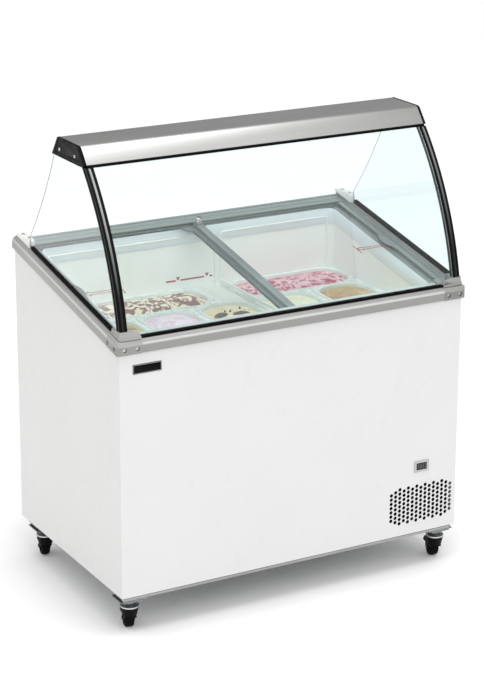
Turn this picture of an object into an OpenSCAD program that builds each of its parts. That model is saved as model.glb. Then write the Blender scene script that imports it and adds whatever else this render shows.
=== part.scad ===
// Ice cream scooping freezer with a sloped glass top, two sliding lids and a curved glass canopy.
// Millimetres. X is the width, +X to the right seen from the front; the front faces -Y; Z is up.
// The origin lies on the floor, in the middle of the cabinet.

/* [Cabinet] */
// Width over the side panels
body_w = 1020; // [1000:1:1040]
// Depth over the front and rear panels
body_d = 630; // [624:1:640]
// Height of the cabinet's underside above the floor
under_z = 103.5; // [103:0.5:110]
// Height of the bumper's lower edge at the middle of the cabinet
rim_z = 819.4; // [810:1:830]
// Slope of the top, rising towards the rear, in degrees
top_slope = 10.8; // [10:0.1:11.5]
// Thickness of the painted panels
sheet = 1.2; // [0.8:0.1:1.3]

/* [Tank] */
// Inner width of the tank
tank_w = 912; // [904:1:912]
// Inner depth of the tank
tank_d = 526; // [520:1:526]
// Height of the tank's floor
tank_floor = 176.5; // [170:0.5:190]
// Height of the step over the machine compartment
step_z = 456.5; // [445:0.5:470]
// Radius of the tank's upright corners
tank_r = 20; // [12:1:30]

/* [Pans] */
// Length of one pan over its rim
pan_l = 360; // [350:1:360]
// Width of one pan over its rim
pan_w = 165; // [155:1:165]
// Depth of one pan
pan_h = 120; // [80:1:150]
// Height of the pans' rims
pan_z = 704.5; // [690:0.5:710]
// Spacing of the front pans
pan_pitch = 176; // [170:1:176]
// Middle of the tank divider
divider_x = 81; // [80:0.5:82]

/* [Lids] */
// Thickness of the lid glass
lid_glass = 4; // [3:0.5:4]
// Width of the profile on the lids' overlapping edges
lid_edge_w = 22; // [18:1:24]

/* [Canopy] */
// Height of the canopy's top
canopy_z = 1240; // [1235:1:1245]
// Radius of the curved front, over the posts
front_r = 842; // [841:0.5:843]
// Width of one post
post_w = 21; // [18:1:26]
// Depth of one post along the radius
post_t = 17; // [16:1:24]
// Thickness of the canopy's glass
glass_t = 5; // [4:0.5:5]

/* [Casters] */
// Radius of a caster wheel
wheel_r = 25; // [24:0.5:25]
// Width of a caster wheel
wheel_w = 24; // [20:1:24]
// Distance of a swivel axis from the middle plane
caster_x = 472; // [460:1:474]
// Turn of the casters about their swivel axes, in degrees
caster_turn = -13; // [-40:1:40]

/* [Hidden] */
$fn = 48;

white = "whitesmoke";
off_white = "gainsboro";
grey = "silver";
mid_grey = "darkgray";
dark_grey = "dimgray";
black = "#181818";
steel = "lightgray";

hw = body_w / 2;
hd = body_d / 2;
slope_tan = tan(top_slope);
slope_cos = cos(top_slope);
panel_lap = 12;        // how far the panels reach up behind the bumper's lip
proud = 10;            // how far the bumper stands out from the panels
bumper_h = 36.5;       // height of the bumper above its lower edge
rail_h = 27;           // height of the top rails, square to the slope
rail_in = 268;         // inner edge of the front and rear rails, along the slope
side_in = 459;         // inner edge of the side rails' ledges
rail_lip = 3;          // thickness of the rails' inner lips
lip_z = 8;             // underside of those lips, square to the slope
lid_end = 484.5;       // outer end of each closed lid
lid_low = 10;          // underside of the lower lid's glass, square to the slope
lid_high = 19;         // underside of the upper lid's glass
glass_lap = 14;        // how far the edge profile covers the glass
left_inner = 8;        // inner end of the closed left lid
lock_x = 8;
lock_y = 250;
tray_t = 3;
tank_hw = tank_w / 2;
tank_hd = tank_d / 2;
liner = 1.2;
step_x = 120;          // where the tank steps up over the machine compartment
machine_x = 180;       // left wall of the machine compartment
machine_z = 400;       // ceiling of the machine compartment
arc_y = 515;           // centre of the curved front
arc_z = 651;
seal_z = 1191.5;       // where the posts and the front glass end under the canopy
glass_top = 1189.8;    // top of the side glasses
gasket_top = 48.5;     // top of the side gaskets, square to the slope
canopy_back = 30;
canopy_bend = -93;
canopy_t = 2.5;
fold_angle = 51.8;
fold_r = 15;
canopy_hw = 500;
post_x = 505;          // outer face of the posts
glass_hw = post_x - post_w - 0.4;
front_screw_x = [463, 499];
front_screw_z = 772;
side_screw_y = [-307, -271];
caster_front_y = -279;
caster_rear_y = 244;
trail = 17;            // wheel axle behind the swivel axis
vent_pitch_x = 13.63;
vent_pitch_z = 12.4;
vent_x = 302.2;
vent_z = 189.5;
vent_r = 5.2;
strip_z = 95.5;        // lower edge of the base strip
fan_x = 398;
fan_z = 190;
fan_y = -236;
cover_t = 8.8;         // how far the rear cover stands out
gland_x = 230;
gland_z = 142;
bracket_top = 922;     // top of the rear brackets

function rim_at(y) = rim_z + y * slope_tan;
function arc2(cx, cy, r, a0, a1, n) =
    [for (i = [0:n]) [cx + r * cos(a0 + (a1 - a0) * i / n), cy + r * sin(a0 + (a1 - a0) * i / n)]];

// ---- helpers ----

// Children drawn flat are laid on the plane of the bumper's lower edge.
module on_slope() translate([0, 0, rim_z]) rotate([top_slope, 0, 0]) children();

// Outline in (y, z) drawn along X.
module prism_x(x0, x1) translate([x0, 0, 0]) rotate([90, 0, 90]) linear_extrude(x1 - x0) children();

// Outline in (x, z) drawn along Y.
module prism_y(y0, y1) translate([0, y1, 0]) rotate([90, 0, 0]) linear_extrude(y1 - y0) children();

module box(low, high) translate(low) cube(high - low);

module both_sides() {
    children();
    mirror([1, 0, 0]) children();
}

module side(s) if (s < 0) mirror([1, 0, 0]) children(); else children();

// Rounded rectangle about the middle, from half sizes.
module round_rect(a, b, r) {
    square([2 * a, 2 * (b - r)], center = true);
    square([2 * (a - r), 2 * b], center = true);
    for (sx = [-1, 1], sy = [-1, 1]) translate([sx * (a - r), sy * (b - r)]) circle(r);
}

// Slice of a tube about the curved front's own axis, from angle a0 to a1 above the horizontal.
module front_arc(x0, x1, r_in, r_out, a0, a1)
    translate([0, arc_y, arc_z]) rotate([90, 0, -90]) rotate([0, 0, a0])
        rotate_extrude(angle = a1 - a0, $fn = 180) translate([r_in, -x1]) square([r_out - r_in, x1 - x0]);

// Pan-head screw that looks along +Z.
module screw() difference() {
    cylinder(r = 4.4, h = 1.8);
    for (a = [0, 90]) rotate([0, 0, a]) translate([-2.6, -0.5, 0.8]) cube([5.2, 1, 2]);
}

// ---- cabinet shell ----

module vent_holes() for (c = [0:14]) {
    end = c == 0 || c == 14;
    count = end ? 7 : (c % 2 == 0 ? 9 : 8);
    for (i = [0:count - 1])
        translate([vent_x + c * vent_pitch_x, -hd - 1, vent_z + (i - (count - 1) / 2) * vent_pitch_z])
            rotate([-90, 0, 0]) cylinder(r = vent_r, h = sheet + 2, $fn = 20);
}

module front_panel() color(white) difference() {
    box([-hw, -hd, under_z], [hw, -hd + sheet, rim_at(-hd) + panel_lap]);
    vent_holes();
    box([376, -hd - 1, 283], [417, -hd + sheet + 1, 309]);
}

module side_panel() color(off_white) prism_x(hw - sheet, hw) polygon([
    [-hd + sheet + 0.1, under_z],
    [hd, under_z],
    [hd, rim_at(hd) + panel_lap],
    [-hd + sheet + 0.1, rim_at(-hd) + panel_lap]
]);

module rear_panel() color(off_white) difference() {
    box([-hw + sheet + 0.1, hd - sheet, under_z], [hw - sheet - 0.1, hd, rim_at(hd) + 20]);
    box([200, hd - 5, 125], [490, hd + 5, 390]);
}

module rear_cover() color(grey) difference() {
    box([188, hd, 112], [502, hd + cover_t, 402]);
    box([190, hd - 1, 114], [500, hd + cover_t - 1.5, 400]);
    for (col = [0:1], row = [0:9]) translate([215 + col * 150, hd + 4, 165 + row * 20])
        cube([120, 12, 7]);
    translate([gland_x, hd + 4, gland_z]) rotate([-90, 0, 0]) cylinder(r = 11, h = 12);
}

module base_tray() color(grey) difference() {
    inside = sheet + 0.1;
    box([-hw + inside, -hd + inside, under_z], [hw - inside, hd - inside, under_z + tray_t]);
    for (i = [0:7]) translate([230 + i * 30, 120, under_z - 1]) cube([12, 120, tray_t + 2]);
}

module base_strip() color(mid_grey) difference() {
    box([-508, -hd, strip_z], [494, -hd + 7, under_z - 0.1]);
    box([-509, -hd + 1.2, strip_z - 1], [495, -hd + 5.8, under_z - 2]);
    for (x = [-438, -352, 360, 420, 480]) box([x - 0.8, -hd - 1, strip_z - 1],
        [x + 0.8, -hd + 0.7, under_z + 1]);
    box([-350, -hd - 1, strip_z + 4], [300, -hd + 0.5, strip_z + 5]);
}

// The space inside the tank, widened by g, from floor f, with the step raised by the same amount.
module tank_space(g, f, s) {
    r = tank_r + g;
    a = (tank_hw + step_x) / 2 + g;
    translate([(step_x - tank_hw) / 2, 0, f]) linear_extrude(s - f + 40) round_rect(a, tank_hd + g, r);
    translate([0, 0, s]) linear_extrude(600) round_rect(tank_hw + g, tank_hd + g, r);
}

// Everything under the sloped plane that lies h above the bumper's lower edge.
module below_slope(h) on_slope() box([-600, -450, -900], [600, 450, h]);

coil_levels = [for (i = [0:5]) 500 + i * 42];
coil_out = 4.2;

module coil_loops(w, r_cut) for (z = coil_levels) translate([0, 0, z]) {
    a = tank_hw + liner + coil_out;
    b = tank_hd + liner + coil_out;
    r = tank_r + liner + coil_out;
    for (s = [-1, 1]) {
        translate([-(a - r), s * b, 0]) rotate([0, 90, 0]) cylinder(r = w, h = 2 * (a - r), $fn = r_cut);
        translate([s * a, -(b - r), 0]) rotate([-90, 0, 0]) cylinder(r = w, h = 2 * (b - r), $fn = r_cut);
    }
    for (i = [0:3]) translate([(i == 0 || i == 3 ? 1 : -1) * (a - r), (i < 2 ? 1 : -1) * (b - r), 0])
        rotate([0, 0, i * 90]) rotate_extrude(angle = 90) translate([r, 0]) circle(w, $fn = r_cut);
}

module insulation_foam() color("khaki") difference() {
    prism_x(-hw + sheet + 0.2, hw - sheet - 0.2) polygon([
        [-hd + sheet + 0.2, under_z + tray_t + 0.1],
        [hd - sheet - 0.2, under_z + tray_t + 0.1],
        [hd - sheet - 0.2, rim_at(hd - sheet) - 0.4],
        [-hd + sheet + 0.2, rim_at(-hd + sheet) - 0.4]
    ]);
    tank_space(liner + 0.1, tank_floor - liner - 0.1, step_z - liner - 0.1);
    box([machine_x, -hd, under_z - 1], [hw, hd, machine_z]);
    for (z = coil_levels) translate([0, 0, z - 5]) linear_extrude(10)
        round_rect(tank_hw + 10, tank_hd + 10, tank_r + 10);
    box([tank_hw - 30, -60, coil_levels[0]], [tank_hw + 10, -48, coil_levels[5]]);
}

module inner_tank() color("honeydew") intersection() {
    difference() {
        tank_space(liner, tank_floor - liner, step_z - liner);
        tank_space(0, tank_floor, step_z);
    }
    below_slope(-36.2);
}

module tank_collar() color("aliceblue") difference() {
    intersection() {
        translate([0, 0, 600]) linear_extrude(400)
            round_rect(tank_hw + liner, tank_hd + liner, tank_r + liner);
        below_slope(lip_z - 0.7);
    }
    below_slope(-36);
    translate([0, 0, 500]) linear_extrude(600) round_rect(tank_hw - 1.8, tank_hd - 1.8, tank_r - 1.8);
}

module evaporator_coil() color("peru") {
    coil_loops(4, 20);
    for (i = [0:4]) translate([tank_hw + liner + coil_out, -54, coil_levels[i]])
        cylinder(r = 3.5, h = coil_levels[1] - coil_levels[0], $fn = 20);
}

// ---- machine compartment ----

module compressor() color(black) {
    floor_z = under_z + tray_t;
    translate([345, 60, floor_z + 14]) rotate_extrude() polygon(concat(
        [[0, 0], [60, 0], [70, 8]],
        arc2(40, 110, 35, 0, 80, 8),
        [[0, 146]]
    ));
    difference() {
        translate([260, -30, floor_z + 8]) cube([170, 180, 6]);
        for (x = [275, 415], y = [-15, 135]) translate([x, y, floor_z]) cylinder(r = 4.1, h = 40);
    }
    for (x = [275, 415], y = [-15, 135]) translate([x, y, floor_z]) cylinder(r = 10, h = 8);
    translate([250, 40, floor_z + 40]) cube([34, 40, 50]);
}

module condenser() color(dark_grey) {
    for (i = [0:19]) translate([303 + i * 10, -292, 118]) cube([0.8, 26, 152]);
    for (row = [0:4], col = [0:1]) translate([300, -286 + col * 14, 134 + row * 30])
        rotate([0, 90, 0]) cylinder(r = 4, h = 194.5, $fn = 24);
    box([298, -294, 114], [302, -264, 274]);
    box([492.5, -294, 114], [496.5, -264, 274]);
    box([298, -294, under_z + tray_t], [496.5, -264, 118]);
}

module fan_shroud() color(steel) {
    difference() {
        box([300, -256, under_z + tray_t], [496, -253, 272]);
        translate([fan_x, -260, fan_z]) rotate([-90, 0, 0]) cylinder(r = 70, h = 12, $fn = 72);
    }
    for (a = [45, 135, 225, 315]) translate([fan_x, -253, fan_z]) rotate([0, a, 0])
        translate([72, 0, -5]) cube([3, 49, 10]);
    for (a = [45, 135]) translate([fan_x, -207, fan_z]) rotate([0, a, 0])
        translate([-75, 0, -5]) cube([150, 3, 10]);
    translate([fan_x, -204, fan_z]) rotate([-90, 0, 0]) cylinder(r = 32, h = 42);
    translate([fan_x, -207, fan_z]) rotate([90, 0, 0]) cylinder(r = 3, h = 48, $fn = 24);
}

module fan_blade() color(mid_grey) translate([fan_x, fan_y, fan_z]) rotate([90, 0, 0]) difference() {
    union() {
        translate([0, 0, -10]) cylinder(r = 20, h = 20);
        for (a = [0:72:288]) rotate([0, 0, a]) translate([17, 0, 0]) rotate([28, 0, 0])
            translate([0, -19, -1]) cube([46, 38, 2]);
    }
    translate([0, 0, -20]) cylinder(r = 3.05, h = 40, $fn = 24);
}

module power_inlet() color(black) translate([gland_x, hd - 12, gland_z])
    rotate([-90, 0, 0]) difference() {
    union() {
        cylinder(r = 10.8, h = 22);
        translate([0, 0, 10.4]) cylinder(r = 14, h = 2, $fn = 6);
    }
    translate([0, 0, -1]) cylinder(r = 4, h = 40);
}

// Temperature controller: a bezel on the panel and its body behind the cut-out.
module controller() color(steel) difference() {
    union() {
        box([373, -hd - 2.6, 280], [420, -hd - 0.1, 312]);
        box([377, -hd - 0.1, 284], [416, -hd + 50, 308]);
    }
    box([380, -hd - 3, 286], [413, -hd - 1.4, 306]);
}

module badge() color(black) box([-473, -hd - 1.2, 703], [-393, -hd, 728]);

// ---- bumpers, rails and brackets ----

// Bull-nosed section: x is the distance from the panel's outer face, z from the bumper's lower edge.
function nose(p, h) = concat(
    arc2(p - 4, 4, 4, -90, 0, 4),
    arc2(p - 14, h - 15, 14, 0, 70, 7),
    [[p - 17, h]]
);

module side_bumper() color(steel) on_slope() prism_y(-262 / slope_cos, 318) polygon(concat(
    [for (q = nose(proud, bumper_h)) [hw + q[0], q[1]]],
    [
        [494, bumper_h],
        [494, rail_h + 0.3],
        [503.4, rail_h + 0.3],
        [503.4, panel_lap + 1],
        [hw + 0.2, panel_lap + 1],
        [hw + 0.2, 0]
    ]
));

module front_bumper() color(steel) prism_x(-450, 450) polygon(concat(
    [for (q = nose(proud, bumper_h)) [-hd - q[0], rim_at(-hd) + q[1]]],
    [
        [-296, rim_at(-296) + bumper_h + 0.3],
        [-296, rim_at(-296) + rail_h + 0.9],
        [-311.5, rim_at(-311.5) + rail_h + 0.9],
        [-311.5, rim_at(-hd) + panel_lap + 1],
        [-hd - 0.2, rim_at(-hd) + panel_lap + 1],
        [-hd - 0.2, rim_at(-hd)]
    ]
));

module lid_grooves(s) {
    y0 = s > 0 ? rail_in - 1 : -rail_in - 7.5;
    y1 = s > 0 ? rail_in + 7.5 : -rail_in + 1;
    for (z = [lid_low, lid_high]) box([-486, y0, z - 0.8], [486, y1, z + lid_glass + 0.8]);
}

module front_rail() color(mid_grey) on_slope() difference() {
    box([-503, -311, 0], [503, -rail_in, rail_h]);
    box([-504, -rail_in - rail_lip, -1], [504, -rail_in + 1, lip_z]);
    lid_grooves(-1);
}

module rear_rail() color(mid_grey) on_slope() difference() {
    box([-503, rail_in, 0], [503, 316.5, rail_h]);
    box([-504, rail_in - 1, -1], [504, rail_in + rail_lip, lip_z]);
    lid_grooves(1);
    box([-503, 304.5, rail_h - 3], [503, 308, rail_h + 1]);
    box([-503, 286, rail_h - 2], [503, 288, rail_h + 1]);
}

module side_rail() color(mid_grey) on_slope() difference() {
    box([side_in, -rail_in + 0.1, 0], [503, rail_in - 0.1, rail_h]);
    box([side_in - 1, -rail_in, 7.5], [486, rail_in, rail_h + 1]);
    box([485, -rail_in, 17], [487.5, rail_in, 18.2]);
    box([side_in + 12, -rail_in, 6.3], [side_in + 14, rail_in, 8]);
}

// Corner cover: the bull nose turned round the corner, with a block on it that carries the post.
module front_bracket() color("gray") {
    cp = proud + 0.6;
    ch = bumper_h + 0.8;
    block_top = 816;
    round = 18;
    difference() {
        intersection() {
            prism_x(450, 530) polygon(concat(
                [for (q = nose(cp, ch)) [-hd - q[0], rim_at(-hd) + q[1] - 0.6]],
                [[-200, rim_at(-200) + ch], [-200, 700], [-hd, rim_at(-hd) - 0.6]]
            ));
            on_slope() prism_y(-400, -262 / slope_cos) polygon(concat(
                [for (q = nose(cp, ch)) [hw + q[0], q[1] - 0.6]],
                [[400, ch - 0.6], [400, -60], [hw, -60], [hw, -0.6]]
            ));
            linear_extrude(1000) round_rect(hw + cp, hd + cp, 16);
        }
        on_slope() box([300, -311.3, -100], [503.5, -100, rail_h + 0.4]);
        box([300, -hd - 0.2, 600], [hw + 0.2, -100, rim_at(-hd) + panel_lap + 1]);
        on_slope() box([503, -318.5, -100], [hw + 0.2, -100, panel_lap + 1]);
        for (x = front_screw_x) translate([x, -hd - 20, front_screw_z]) rotate([-90, 0, 0])
            cylinder(r = 5.6, h = 15);
        for (y = side_screw_y) translate([hw + 5, y, rim_at(y) + 14]) rotate([0, 90, 0])
            cylinder(r = 5.6, h = 15);
    }
    difference() {
        union() {
            intersection() {
                linear_extrude(block_top) round_rect(508.5, 317, 7);
                prism_y(-330, -271) polygon(concat(
                    [[520, 780], [520, block_top]],
                    arc2(450 + round, block_top - round, round, 90, 180, 8),
                    [[450, 780]]
                ));
            }
            intersection() {
                linear_extrude(1000) round_rect(511, 319.5, 9);
                box([450, -330, 700], [520, -271, 900]);
                on_slope() box([0, -500, 30], [600, 0, bumper_h + 5]);
            }
        }
        on_slope() box([300, -400, -200], [600, -200, bumper_h - 0.3]);
        box([440, -313, 780], [glass_hw + 0.2, -200, 830]);
    }
}

module rear_bracket() color("white") difference() {
    prism_x(490, 509) polygon([
        [221, rim_at(221) + bumper_h + 0.8],
        [307, rim_at(307) + bumper_h + 0.8],
        each arc2(298, bracket_top - 9, 9, 15.6, 90, 5),
        [227, bracket_top],
        [221, bracket_top - 6]
    ]);
    for (y = [240, 280]) translate([499.5, y, bracket_top - 8]) cylinder(r = 2.4, h = 20, $fn = 24);
    box([500.2, 219, 880], [505.8, 223.5, 940]);
}

module screws() color(steel) {
    both_sides() {
        for (x = front_screw_x) translate([x, -hd - 5, front_screw_z]) rotate([90, 0, 0]) screw();
        for (y = side_screw_y) translate([hw + 5, y, rim_at(y) + 14]) rotate([0, 90, 0]) screw();
        for (y = [240, 280]) translate([499.5, y, bracket_top + 0.02]) screw();
        for (y = [19, -71]) translate([506.02, y, 1210]) rotate([0, 90, 0]) screw();
    }
    for (x = [196, 494], z = [120, 394]) translate([x, hd + cover_t + 0.02, z]) rotate([-90, 0, 0]) screw();
}

// ---- canopy ----

module post() color(black) difference() {
    front_arc(post_x - post_w, post_x, front_r - post_t, front_r, 9, 42);
    box([400, -400, 0], [600, 100, 816]);
    box([400, -400, seal_z], [600, 100, 1400]);
    front_arc(post_x - 1.2, post_x + 1, front_r - 11, front_r - 7, 8, 43);
    front_arc(post_x - post_w + 7, post_x - post_w + 9, front_r - 1, front_r + 1, 8, 43);
    front_arc(post_x - 8, post_x - 6, front_r - 1, front_r + 1, 8, 43);
}

module front_glass() color("powderblue", 0.4) difference() {
    front_arc(-glass_hw, glass_hw, front_r - 1 - glass_t, front_r - 1, 9.5, 42);
    box([-600, -400, 0], [600, 100, 798.8]);
    box([-600, -400, seal_z - 0.1], [600, 100, 1400]);
}

// The rear edge of the side glass is a little hollow.
function glass_back(n) = [for (i = [0:n]) let (t = i / n)
    [222.5 + (57 - 222.5) * t - 30 * t * (1 - t), 931 + (glass_top - 931) * t - 20 * t * (1 - t)]];

module side_glass() color("powderblue", 0.4) prism_x(500.5, 500.5 + glass_t) intersection() {
    translate([arc_y, arc_z]) circle(front_r - post_t - 0.5, $fn = 240);
    polygon(concat(
        [[-257, rim_at(-257) + 41.6], [222.5, rim_at(222.5) + 41.6]],
        glass_back(8),
        [[-160, glass_top], [-330, 900], [-302, 817], [-268, 817], [-268, rim_at(-257) + 41.6]]
    ));
}

module glass_gaskets() color(black) {
    prism_x(-449.8, 449.8) polygon([
        [-315.4, 795], [-308, 796], [-302.6, 798], [-302.6, 801.4], [-305.7, 801.4],
        [-305.7, 798.6], [-313, 798.6], [-313, 801.4], [-315.4, 800.6]
    ]);
    both_sides() on_slope() prism_y(-262, 220 / slope_cos) polygon([
        [497.4, bumper_h + 0.2], [507.6, bumper_h + 0.2], [507.6, gasket_top], [505.8, gasket_top],
        [505.8, 40.5], [500.2, 40.5], [500.2, gasket_top], [497.4, gasket_top]
    ]);
}

// Top sheet folded down along its front; d is the distance in from its outer face.
function canopy_line(d) = concat(
    [[canopy_back - d, canopy_z - 12], [canopy_back - d, canopy_z - d]],
    arc2(canopy_bend + fold_r * tan(fold_angle / 2), canopy_z - fold_r, fold_r - d, 90, 90 + fold_angle, 8),
    [[-126 + d * sin(fold_angle), 1198 - d * cos(fold_angle)]]
);

module canopy_sheet() color(grey) prism_x(-canopy_hw, canopy_hw) polygon(concat(
    canopy_line(0),
    [for (i = [len(canopy_line(0)) - 1:-1:0]) canopy_line(canopy_t)[i]]
));

module canopy_seal() color(black) prism_x(-canopy_hw, canopy_hw) polygon([
    [-132.5, seal_z + 0.1],
    [-107, seal_z + 0.1],
    [-107, 1194.5],
    [-121, 1195.6],
    [-123.8, 1196.2],
    [-126.2, 1197.8],
    [-130, 1196.5]
]);

module end_cap() color(black) difference() {
    prism_x(canopy_hw + 0.2, canopy_hw + 7) polygon(concat(
        [[67, 1190], [canopy_back + 2, canopy_z]],
        arc2(canopy_bend + fold_r * tan(fold_angle / 2), canopy_z - fold_r, fold_r, 90, 90 + fold_angle, 6),
        [[-127.5, 1197], [-113, seal_z + 0.2], [-96, seal_z + 0.2], [-96, 1190]]
    ));
    prism_x(canopy_hw + 6, canopy_hw + 8) polygon([[52, 1198], [26, 1232], [-84, 1232], [-108, 1202]]);
}

module lamp_housing() color(white) difference() {
    box([-452, -72, 1216], [452, 12, canopy_z - canopy_t]);
    box([-449, -69, 1215], [380, 9, 1235]);
    box([388, 1, 1219], [412, 13, 1235]);
    translate([386, 9, 1227]) rotate([0, 90, 0]) cylinder(r = 1.55, h = 28, $fn = 24);
}

module lamp_diffuser() color("ghostwhite") difference() {
    box([-448.6, -68.6, 1211], [379.6, 8.6, 1218]);
    box([-446, -66, 1213], [377, 6, 1219]);
}

// Rocker that pivots about an axle along X, in its pocket in the lamp housing's rear face.
module lamp_switch() color(black) translate([400, 9, 1227]) {
    prism_x(-11, 11) polygon([[-5, -5.5], [-5, 5.5], [4, 6], [5.5, 0], [4, -6]]);
    translate([-13, 0, 0]) rotate([0, 90, 0]) cylinder(r = 1.5, h = 26, $fn = 24);
}

// ---- lids ----

// Half-moon finger handle on the outer end of a lid, at height z.
module half_moon(z) translate([0, 0, z]) linear_extrude(3.2) intersection() {
    translate([-527, 0]) circle(72, $fn = 96);
    translate([-483, -70]) square([60, 140]);
}

// Glass of a lid that reaches from the outer end on the left to inner_x.
module lid_pane(z, inner_x) on_slope()
    box([-lid_end + 3, -272, z], [inner_x - glass_lap, 272, z + lid_glass]);

// End profile with its handle, and the profile on the overlapping edge with its three ribs.
module lid_profiles(z, inner_x, low, high) on_slope() difference() {
    union() {
        box([-lid_end, -265.4, z - low], [-lid_end + 15, 265.4, z + high]);
        box([inner_x - lid_edge_w, -265.4, z - low], [inner_x, 265.4, z + high]);
        half_moon(z + lid_glass);
        children();
    }
    box([-lid_end + 3, -273, z], [inner_x - glass_lap, 273, z + lid_glass]);
    for (i = [0:2]) translate([inner_x - 19 + i * 5, -266, z + high - 0.8]) cube([1.4, 532, 2]);
}

// Hollow-curved corner plate at the rear end of the lower lid's edge profile.
module corner_gusset(z, inner_x) translate([inner_x - lid_edge_w - 45, 235.4, z])
    linear_extrude(3) difference() {
        square([46, 30]);
        circle(30, $fn = 64);
    }

module left_lid_glass() color("lightcyan", 0.4) lid_pane(lid_low, left_inner);
module left_lid_frame() color(dark_grey) lid_profiles(lid_low, left_inner, 1.4, 7.4)
    corner_gusset(lid_low + lid_glass, left_inner);
module right_lid_glass() color("lightcyan", 0.4) mirror([1, 0, 0]) lid_pane(lid_high, 0);
module right_lid_frame() color(mid_grey) difference() {
    mirror([1, 0, 0]) lid_profiles(lid_high, 0, 1.1, 7);
    on_slope() translate([lock_x, lock_y, lid_high - 3]) cylinder(r = 5.05, h = 20);
}

// Lock barrel that turns on its stem in the upper lid's edge profile.
module lid_lock() color("silver") on_slope() translate([lock_x, lock_y, 0]) difference() {
    union() {
        translate([0, 0, lid_high - 0.8]) cylinder(r = 5, h = 10);
        translate([0, 0, lid_high + 7.4]) cylinder(r = 8.9, h = 20);
        translate([0, 0, lid_high + 27.4]) cylinder(r1 = 8.9, r2 = 7, h = 2);
    }
    translate([-1, -4, lid_high + 20]) cube([2, 8, 20]);
}

// ---- pans ----

pan_r = 55;            // radius of the pans' upright corners
left_front_x = [for (i = [-1:1]) -187 + i * pan_pitch];
right_front_x = [for (i = [-1, 1]) 270 + i * pan_pitch / 2];
front_pan_y = -tank_hd + 0.3 + pan_l / 2;
rear_pan_y = tank_hd - 0.3 - pan_w / 2;
pan_places = concat(
    [for (x = left_front_x) [x, front_pan_y, 90]],
    [for (x = right_front_x) [x, front_pan_y, 90]],
    [[-181, rear_pan_y, 0], [270, rear_pan_y, 0]]
);

module at_pans() for (p = pan_places) translate([p[0], p[1], 0]) rotate([0, 0, p[2]]) children();

module pans() color("mintcream") at_pans() difference() {
    union() {
        translate([0, 0, pan_z - 2.5]) linear_extrude(2.5) round_rect(pan_l / 2, pan_w / 2, 28);
        translate([0, 0, pan_z - pan_h]) linear_extrude(pan_h)
            round_rect(pan_l / 2 - 8, pan_w / 2 - 8, pan_r);
    }
    translate([0, 0, pan_z - pan_h + 1.6]) linear_extrude(pan_h)
        round_rect(pan_l / 2 - 9.6, pan_w / 2 - 9.6, pan_r - 1.6);
}

module ice_cream() color("bisque") at_pans() intersection() {
    translate([0, 0, pan_z - pan_h + 1.7]) linear_extrude(pan_h + 10)
        round_rect(pan_l / 2 - 9.8, pan_w / 2 - 9.8, pan_r - 1.8);
    translate([-200, 0, pan_z + 6 - 300]) rotate([0, 90, 0]) cylinder(r = 300, h = 400, $fn = 180);
    translate([0, 100, pan_z + 6 - 900]) rotate([90, 0, 0]) cylinder(r = 900, h = 200, $fn = 240);
}

// White frame that carries the pans by their rims, with the upright divider and a ribbed cover.
module pan_rack() color(white) {
    top = pan_z - 2.5;
    difference() {
        translate([0, 0, top - 24]) linear_extrude(24) round_rect(tank_hw - 0.3, tank_hd - 0.3, tank_r);
        translate([0, 0, top - 25]) linear_extrude(22.5) round_rect(tank_hw - 3, tank_hd - 3, tank_r - 3);
        at_pans() translate([0, 0, top - 30]) linear_extrude(40)
            round_rect(pan_l / 2 - 6, pan_w / 2 - 6, pan_r + 2);
        box([divider_x - 2.6, -tank_hd + 20, top - 30], [divider_x + 2.6, tank_hd - 20, top + 20]);
    }
    difference() {
        box([divider_x - 2.5, -tank_hd + 20.1, 600], [divider_x + 2.5, tank_hd - 20.1, 722]);
        for (y = [-150, 0, 150]) box([divider_x - 4, y - 50, 706], [divider_x + 4, y + 50, 716]);
    }
    for (i = [0:5]) box([12 + i * 10, 104, top], [16 + i * 10, 256, top + 2]);
}

// ---- casters ----

module at_casters() for (sx = [-1, 1], y = [caster_front_y, caster_rear_y])
    translate([sx * caster_x, y, 0]) children();

module caster_mounts() color(steel) {
    for (sx = [-1, 1], y = [caster_front_y, caster_rear_y]) side(sx) difference() {
        box([434, y - 28.5, 88], [hw - 1, y + 28.5, under_z - 0.1]);
        box([hw - 7, y - 30, 90.5], [hw, y + 30, under_z - 3]);
        translate([caster_x, y, 80]) cylinder(r = 14, h = 20);
    }
    at_casters() difference() {
        union() {
            translate([-28, -28, 84]) cube([56, 56, 3.9]);
            translate([0, 0, 72]) cylinder(r = 13, h = 13);
            translate([0, 0, 67.4]) cylinder(r1 = 20, r2 = 13, h = 6);
            translate([0, 0, 64]) cylinder(r = 24.5, h = 3.5);
        }
        translate([0, 0, 50]) cylinder(r = 6.05, h = 60, $fn = 40);
        for (a = [45:90:315]) rotate([0, 0, a]) translate([32, 0, 80]) cylinder(r = 3.2, h = 10, $fn = 24);
    }
}

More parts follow.
